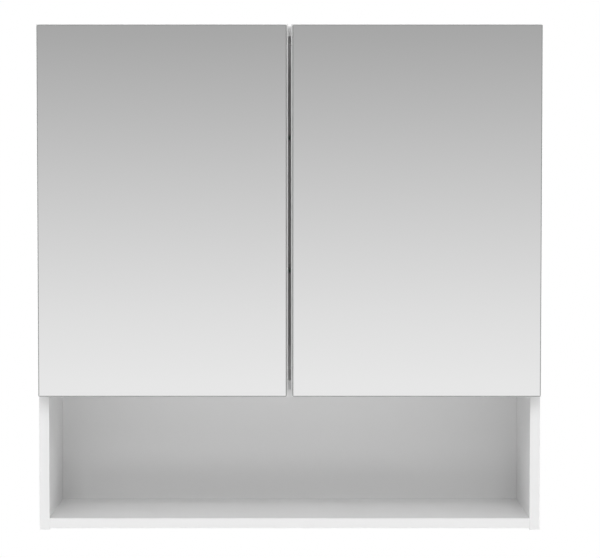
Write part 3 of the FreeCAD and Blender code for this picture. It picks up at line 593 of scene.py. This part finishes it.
def mirror_glass():
    """Silvered glass with a ground arris in dark grey, partly painted shade and reflection along the
    mirrors' edges, and paint on its rear.
    """
    made = Finish("mirror_silver")
    tree = made.tree
    front, rear = made.faces(FORWARD), made.faces(BACKWARD)
    ground = made.grain(looks().plating)
    # The arris's dark grey is partly painted shade and reflection along the mirror's edge
    edge = made.tinted(looks().ground_edge_and_painted_shade, ground, ARRIS.shade)
    unsilvered = between(tree, rear, edge, rgba(looks().backing))
    matt = spread(tree, ground, *ARRIS.rough)
    bright = spread(tree, made.marks(), 0.0, HANDLED_MIRROR)
    return made.done(
        Base_Color=between(tree, front, unsilvered, rgba(looks().silver)),
        Metallic=front,
        Roughness=between(tree, front, matt, bright, "FLOAT"),
    )


def shelf_glass():
    """Clear float glass, green where it is looked at through its edges."""
    made = Finish("shelf_glass_clear")
    tree = made.tree
    flat = made.faces(UPWARD, DOWNWARD)
    clear = spread(tree, made.marks(), 0.0, HANDLED_GLASS)
    return made.done(
        Base_Color=between(tree, flat, rgba(looks().glass_edge), rgba(looks().glass)),
        Roughness=between(tree, flat, GLASS_EDGE_ROUGHNESS, clear, "FLOAT"),
        Transmission_Weight=1.0,
        IOR=GLASS_IOR,
    )


def around(name):
    """Both ends of a metal's or a moulding's roughness."""
    middle = MIDDLE_ROUGHNESS[name]
    return middle - ROUGHNESS_SWING, middle + ROUGHNESS_SWING


def plated_metal(name, tint):
    """Plated or bright metal with a fine grain and faint handling marks."""
    made = Finish(name)
    tree = made.tree
    grain = made.grain(looks().plating)
    dull = maths(tree, "MULTIPLY", made.marks(), HANDLED_METAL)
    return made.done(
        Base_Color=made.tinted(tint, grain, PLATING.shade),
        Metallic=1.0,
        Roughness=maths(tree, "ADD", spread(tree, grain, *around(name)), dull),
        Normal=made.relief(grain, PLATING.depth),
    )


def moulding(name, tint):
    """Moulded or pressed material with a fine even grain."""
    made = Finish(name)
    grain = made.grain(looks().plating)
    return made.done(
        Base_Color=made.tinted(tint, grain, MOULDING.shade),
        Roughness=spread(made.tree, grain, *around(name)),
        Normal=made.relief(grain, MOULDING.depth),
    )


def foam_tape():
    """Foam with open pores along its cut edges."""
    made = Finish("foam_tape_pores")
    pores = made.grain(looks().fleck)
    return made.done(
        Base_Color=made.tinted(looks().foam, stretch(made.tree, pores, PORE_RANGE), FOAM.shade),
        Roughness=spread(made.tree, pores, *FOAM.rough),
        Normal=made.relief(pores, FOAM.depth),
    )


def beech_wood():
    """Beech with its grain along the dowels."""
    made = Finish("beech_grain")
    tree = made.tree
    drawn = add(tree, "ShaderNodeMapping", {"Vector": made.place, "Scale": BEECH_FIBRES}).outputs["Vector"]
    fibres = effect(tree, "Fine Grain", {"Coordinates": drawn, "Scale": 1.0})["Value"]
    return made.done(
        Base_Color=made.tinted(looks().beech, stretch(tree, fibres, FIBRE_RANGE), BEECH.shade),
        Roughness=spread(tree, fibres, *BEECH.rough),
        Normal=made.relief(fibres, BEECH.depth),
    )


def clear_rubber():
    """Clear soft plastic of the bumpers."""
    made = Finish("bumper_clear")
    grain = made.grain(looks().peel)
    return made.done(
        Base_Color=made.tinted(looks().bumper, grain, RUBBER.shade),
        Roughness=spread(made.tree, grain, *RUBBER.rough),
        Transmission_Weight=RUBBER_CLEARNESS,
        IOR=RUBBER_IOR,
    )


def wear(material, *nodes):
    """Give one material to some of the cabinet's pieces."""
    for node in nodes:
        slots = frame["nodes"][node].data.materials
        slots.clear()
        slots.append(material)


def both(*words):
    """The names of left and right pieces."""
    return [f"{side}_{word}" for side in SIDES for word in words]


class CABINET_OT_boards(bpy.types.Operator):
    """Finish the carcass and door boards"""

    bl_idname = "cabinet.boards"
    bl_label = "Boards"

    def execute(self, context):
        for node, axis in BOARDS.items():
            wear(laminated_board(node, axis), node)
        return {"FINISHED"}


class CABINET_OT_bands(bpy.types.Operator):
    """Finish the edge bands of all boards"""

    bl_idname = "cabinet.bands"
    bl_label = "Edge Bands"

    def execute(self, context):
        wear(edge_band(), "cross_board_bands", *both("side_bands", "door_bands"))
        return {"FINISHED"}


class CABINET_OT_back(bpy.types.Operator):
    """Finish the thin back and the hanging rail behind it"""

    bl_idname = "cabinet.back"
    bl_label = "Back and Rail"

    def execute(self, context):
        wear(hardboard(), "back_panel")
        wear(chipboard(), "hanging_rail")
        return {"FINISHED"}


class CABINET_OT_mirrors(bpy.types.Operator):
    """Finish the mirrors and the tape that holds them"""

    bl_idname = "cabinet.mirrors"
    bl_label = "Mirrors"

    def execute(self, context):
        wear(mirror_glass(), *both("mirror"))
        wear(foam_tape(), *both("mirror_tape"))
        return {"FINISHED"}


class CABINET_OT_shelves(bpy.types.Operator):
    """Finish the glass shelves and their supports"""

    bl_idname = "cabinet.shelves"
    bl_label = "Shelves"

    def execute(self, context):
        wear(shelf_glass(), *SHELVES)
        wear(plated_metal("nickel_supports", looks().nickel), "shelf_supports")
        return {"FINISHED"}


class CABINET_OT_hinges(bpy.types.Operator):
    """Finish the cups, arms, plates and pins of the hinges"""

    bl_idname = "cabinet.hinges"
    bl_label = "Hinges"

    def execute(self, context):
        pressings = [f"{end}_hinge_{piece}" for end in HINGE_ENDS for piece in HINGE_PRESSINGS]
        wear(plated_metal("nickel_hinges", looks().nickel), *both(*pressings))
        wear(plated_metal("steel_pins", looks().pin), *both("hinge_pins"))
        return {"FINISHED"}


class CABINET_OT_fasteners(bpy.types.Operator):
    """Finish the screws, cams, cam bolts and dowels"""

    bl_idname = "cabinet.fasteners"
    bl_label = "Fasteners"

    def execute(self, context):
        wear(plated_metal("zinc_screws", looks().zinc), *SCREWS, *both("cup_screws", "strike_screws"))
        wear(plated_metal("die_cast_cams", looks().die_cast), "cam_housings")
        wear(beech_wood(), "dowels")
        return {"FINISHED"}


class CABINET_OT_catches(bpy.types.Operator):
    """Finish the magnetic catches, their strike plates and the door bumpers"""

    bl_idname = "cabinet.catches"
    bl_label = "Catches and Bumpers"

    def execute(self, context):
        wear(moulding("white_catches", looks().plastic), *both("catch_housing"))
        wear(moulding("ferrite_magnets", looks().ferrite), "catch_magnets")
        wear(plated_metal("zinc_strikes", looks().zinc), "catch_poles", *both("strike_plate"))
        wear(clear_rubber(), *both("door_bumpers"))
        return {"FINISHED"}


class CABINET_OT_hangers(bpy.types.Operator):
    """Finish the keyhole plates on the back"""

    bl_idname = "cabinet.hangers"
    bl_label = "Hangers"

    def execute(self, context):
        wear(plated_metal("zinc_hangers", looks().zinc), *both("hanger_plate"))
        return {"FINISHED"}


def link(name, data):
    """A new object in the scene."""
    made = bpy.data.objects.new(name, data)
    bpy.context.scene.collection.objects.link(made)
    return made


def floor_finish(stage, centre):
    """Pale grey that fades to white towards the floor's rim, and keeps the cabinet's shadow."""
    made = Finish("pale_floor")
    tree = made.tree
    centred = add(tree, "ShaderNodeMapping", {"Vector": made.place, "Location": tuple(-centre)})
    reach = add(tree, "ShaderNodeVectorMath", {0: centred.outputs["Vector"]}, operation="LENGTH")
    fade = stretch(tree, reach.outputs["Value"], (stage.floor_clear, stage.floor_radius))
    rays = tree.nodes.new("ShaderNodeLightPath").outputs
    seen = maths(tree, "MAXIMUM", rays["Is Camera Ray"], rays["Is Glossy Ray"])
    seen = maths(tree, "MAXIMUM", seen, rays["Is Transmission Ray"])
    white = add(tree, "ShaderNodeEmission", {"Color": rgba(WHITE), "Strength": 1.0}).outputs["Emission"]
    grey = made.surface.outputs["BSDF"]
    faded = add(tree, "ShaderNodeMixShader", {0: maths(tree, "MULTIPLY", fade, seen), 1: grey, 2: white})
    wire(tree, tree.nodes["Material Output"].inputs["Surface"], faded.outputs["Shader"])
    grain = made.grain(looks().smudge)
    return made.done(
        Base_Color=made.tinted(stage.floor_grey, grain, FLOOR.shade),
        Roughness=spread(tree, grain, *FLOOR.rough),
    )


def pale_floor(stage, centre):
    """A round floor under the cabinet."""
    sheet = bmesh.new()
    bmesh.ops.create_circle(sheet, cap_ends=True, segments=FLOOR_SEGMENTS, radius=stage.floor_radius)
    bmesh.ops.translate(sheet, verts=sheet.verts, vec=centre)
    mesh = bpy.data.meshes.new("floor")
    sheet.to_mesh(mesh)
    sheet.free()
    mesh.materials.append(floor_finish(stage, centre))
    floor = link("floor", mesh)


def by_height(tree, height, stops):
    """A grey that follows the sine of a direction's height over the horizon."""
    ramp = add(tree, "ShaderNodeValToRGB", {"Fac": stretch(tree, height, (-1.0, 1.0))})
    elements = ramp.color_ramp.elements
    for _ in stops[len(elements):]:
        elements.new(0.5)
    for element, (sine, grey) in zip(elements, stops):
        element.position = (sine + 1) / 2
        element.color = rgba(WHITE, grey)
    return ramp.outputs["Color"]


def studio_world(stage):
    """White behind the cabinet, a soft studio in its mirrors and soft light on the rest."""
    world = bpy.data.worlds.new("studio")
    world.use_nodes = True
    tree = world.node_tree
    direction = parts_of(tree, tree.nodes.new("ShaderNodeTexCoord").outputs["Generated"])
    level = spread(tree, direction["Y"], stage.studio_level, stage.studio_rear * stage.studio_level)
    light = between(tree, by_height(tree, direction["Z"], STUDIO_LIGHT), rgba(BLACK), level)
    rays = tree.nodes.new("ShaderNodeLightPath").outputs
    shown = between(tree, rays["Is Glossy Ray"], light, by_height(tree, direction["Z"], STUDIO_GREYS))
    straight = maths(tree, "MAXIMUM", rays["Is Camera Ray"], rays["Is Transmission Ray"])
    seen = between(tree, straight, shown, rgba(WHITE))
    wire(tree, tree.nodes["Background"].inputs["Color"], seen)
    bpy.context.scene.world = world


def left_out(name, nodes):
    """A collection of pieces that a lamp takes no notice of."""
    if name not in bpy.data.collections:
        pieces = bpy.data.collections.new(name)
        for node in nodes:
            pieces.objects.link(frame["nodes"][node])
        for piece in pieces.collection_objects:
            piece.light_linking.link_state = "EXCLUDE"
    return bpy.data.collections[name]


def from_front(height):
    """The direction from the cabinet to a lamp in front, at a height over the horizon."""
    return Vector((0.0, -math.cos(height), math.sin(height)))


def hang(name, lamp, place, aim):
    """Hang a lamp that shines through the clear shelves, and that no mirror shows."""
    placed = link(name, lamp)
    placed.location = place
    placed.rotation_mode = "QUATERNION"
    placed.rotation_quaternion = (place - aim).to_track_quat("Z", "Y")
    placed.visible_camera = False
    placed.visible_glossy = False
    placed.visible_transmission = False
    placed.light_linking.blocker_collection = left_out("clear_panes", SHELVES)
    return placed


def key_lamp(stage, middle):
    """A wide soft lamp in front of the cabinet."""
    lamp = bpy.data.lights.new("key_lamp", "AREA")
    lamp.shape = "RECTANGLE"
    lamp.size, lamp.size_y = KEY_SIZE
    lamp.energy = stage.key_power
    hang("key_lamp", lamp, middle + stage.key_distance * from_front(stage.key_height), middle)


def opening_corners(foot):
    """The lowest and the highest corner of the opening behind the doors."""
    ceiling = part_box("top_panel")[LOWEST]
    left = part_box("left_side_panel")[HIGHEST].x
    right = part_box("right_side_panel")[LOWEST].x
    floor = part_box("compartment_floor")[foot].z
    return Vector((left, ceiling.y, floor)), Vector((right, ceiling.y, ceiling.z))


def shutter(tree, slope, ends):
    """A mask that is one while the slope of a beam stays between two ends."""
    middle = sum(ends) / 2
    half = abs(ends[1] - ends[0]) / 2
    offset = maths(tree, "ABSOLUTE", maths(tree, "SUBTRACT", slope, middle))
    return spread(tree, offset, 1.0, 0.0, (1 - SPOT_EDGE) * half, (1 + SPOT_EDGE) * half)


def gap_spot(stage, name, degrees, strength, foot):
    """A spot in front of the gap, with shutters that keep its beam inside the opening behind the doors."""
    low, high = opening_corners(foot)
    opening = (low + high) / 2
    rise = from_front(math.radians(degrees))
    place = opening + stage.spot_distance * rise
    to_lamp = rise.to_track_quat("Z", "Y").inverted()
    corners = [to_lamp @ (corner - place) for corner in (low, high)]
    lamp = bpy.data.lights.new(name, "SPOT")
    lamp.energy = strength * stage.spot_power
    lamp.shadow_soft_size = SPOT_RADIUS
    lamp.spot_size = 2 * max(corner.angle(Vector(DOWNWARD)) for corner in corners) * SPOT_CONE
    lamp.use_nodes = True
    tree = lamp.node_tree
    way = parts_of(tree, tree.nodes.new("ShaderNodeTexCoord").outputs["Normal"])
    slopes = {axis: maths(tree, "DIVIDE", way[axis], way["Z"]) for axis in ("X", "Y")}
    across = shutter(tree, slopes["X"], [corner.x / corner.z for corner in corners])
    along = shutter(tree, slopes["Y"], [corner.y / corner.z for corner in corners])
    wire(tree, tree.nodes["Emission"].inputs["Strength"], maths(tree, "MULTIPLY", across, along))
    bodies = frame["record"]["behaviour"]["bodies"]
    doors = left_out("doors", bodies["left_door"] + bodies["right_door"])
    hang(name, lamp, place, opening).light_linking.receiver_collection = doors


def photo_camera(stage):
    """The camera that was fitted to the photograph."""
    lens = bpy.data.cameras.new("photo_camera")
    lens.sensor_width = FILM_WIDTH
    lens.lens = FOCAL_PIXELS / PHOTO_WIDTH * FILM_WIDTH
    lens.shift_x = (PHOTO_WIDTH / 2 - PRINCIPAL_X) / PHOTO_WIDTH
    camera = link("photo_camera", lens)
    camera.location = stage.camera_place
    camera.rotation_euler = (math.pi / 2 - stage.camera_tilt, 0.0, 0.0)
    bpy.context.scene.camera = camera


class CABINET_OT_stage(bpy.types.Operator):
    """Set up the floor, the light and the camera"""

    bl_idname = "cabinet.stage"
    bl_label = "Stage"

    def execute(self, context):
        stage = context.scene.cabinet_stage
        low, high = CAD_BOX
        middle = (low + high) / 2
        pale_floor(stage, Vector((middle.x, middle.y, low.z - stage.floor_drop)))
        studio_world(stage)
        key_lamp(stage, middle)
        for name, spot in SPOTS.items():
            gap_spot(stage, name, **spot)
        photo_camera(stage)
        context.scene.view_settings.view_transform = "Standard"
        return {"FINISHED"}


STEPS = (
    CABINET_OT_boards,
    CABINET_OT_bands,
    CABINET_OT_back,
    CABINET_OT_mirrors,
    CABINET_OT_shelves,
    CABINET_OT_hinges,
    CABINET_OT_fasteners,
    CABINET_OT_catches,
    CABINET_OT_hangers,
    CABINET_OT_stage,
)


class CABINET_PT_looks(bpy.types.Panel):
    """Steps and settings of the cabinet's looks"""

    bl_label = "Mirror Cabinet"
    bl_space_type = "VIEW_3D"
    bl_region_type = "UI"
    bl_category = "Cabinet"

    def draw(self, context):
        column = self.layout.column()
        for step in STEPS:
            column.operator(step.bl_idname)
        for group in (context.scene.cabinet_finish, context.scene.cabinet_stage):
            for name in type(group).__annotations__:
                column.prop(group, name)


CLASSES = (CabinetFinish, CabinetStage, *STEPS, CABINET_PT_looks)


def register():
    """Register the classes, and hang the settings on the scene."""
    for cls in CLASSES:
        bpy.utils.register_class(cls)
    bpy.types.Scene.cabinet_finish = PointerProperty(type=CabinetFinish)
    bpy.types.Scene.cabinet_stage = PointerProperty(type=CabinetStage)


def unregister():
    """Take the settings and the classes away again."""
    del bpy.types.Scene.cabinet_stage
    del bpy.types.Scene.cabinet_finish
    for cls in reversed(CLASSES):
        bpy.utils.unregister_class(cls)


def main():
    """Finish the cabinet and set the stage."""
    register()
    bpy.ops.cabinet.boards()
    bpy.ops.cabinet.bands()
    bpy.ops.cabinet.back()
    bpy.ops.cabinet.mirrors()
    bpy.ops.cabinet.shelves()
    bpy.ops.cabinet.hinges()
    bpy.ops.cabinet.fasteners()
    bpy.ops.cabinet.catches()
    bpy.ops.cabinet.hangers()
    bpy.ops.cabinet.stage()


if __name__ == "__main__":
    main()
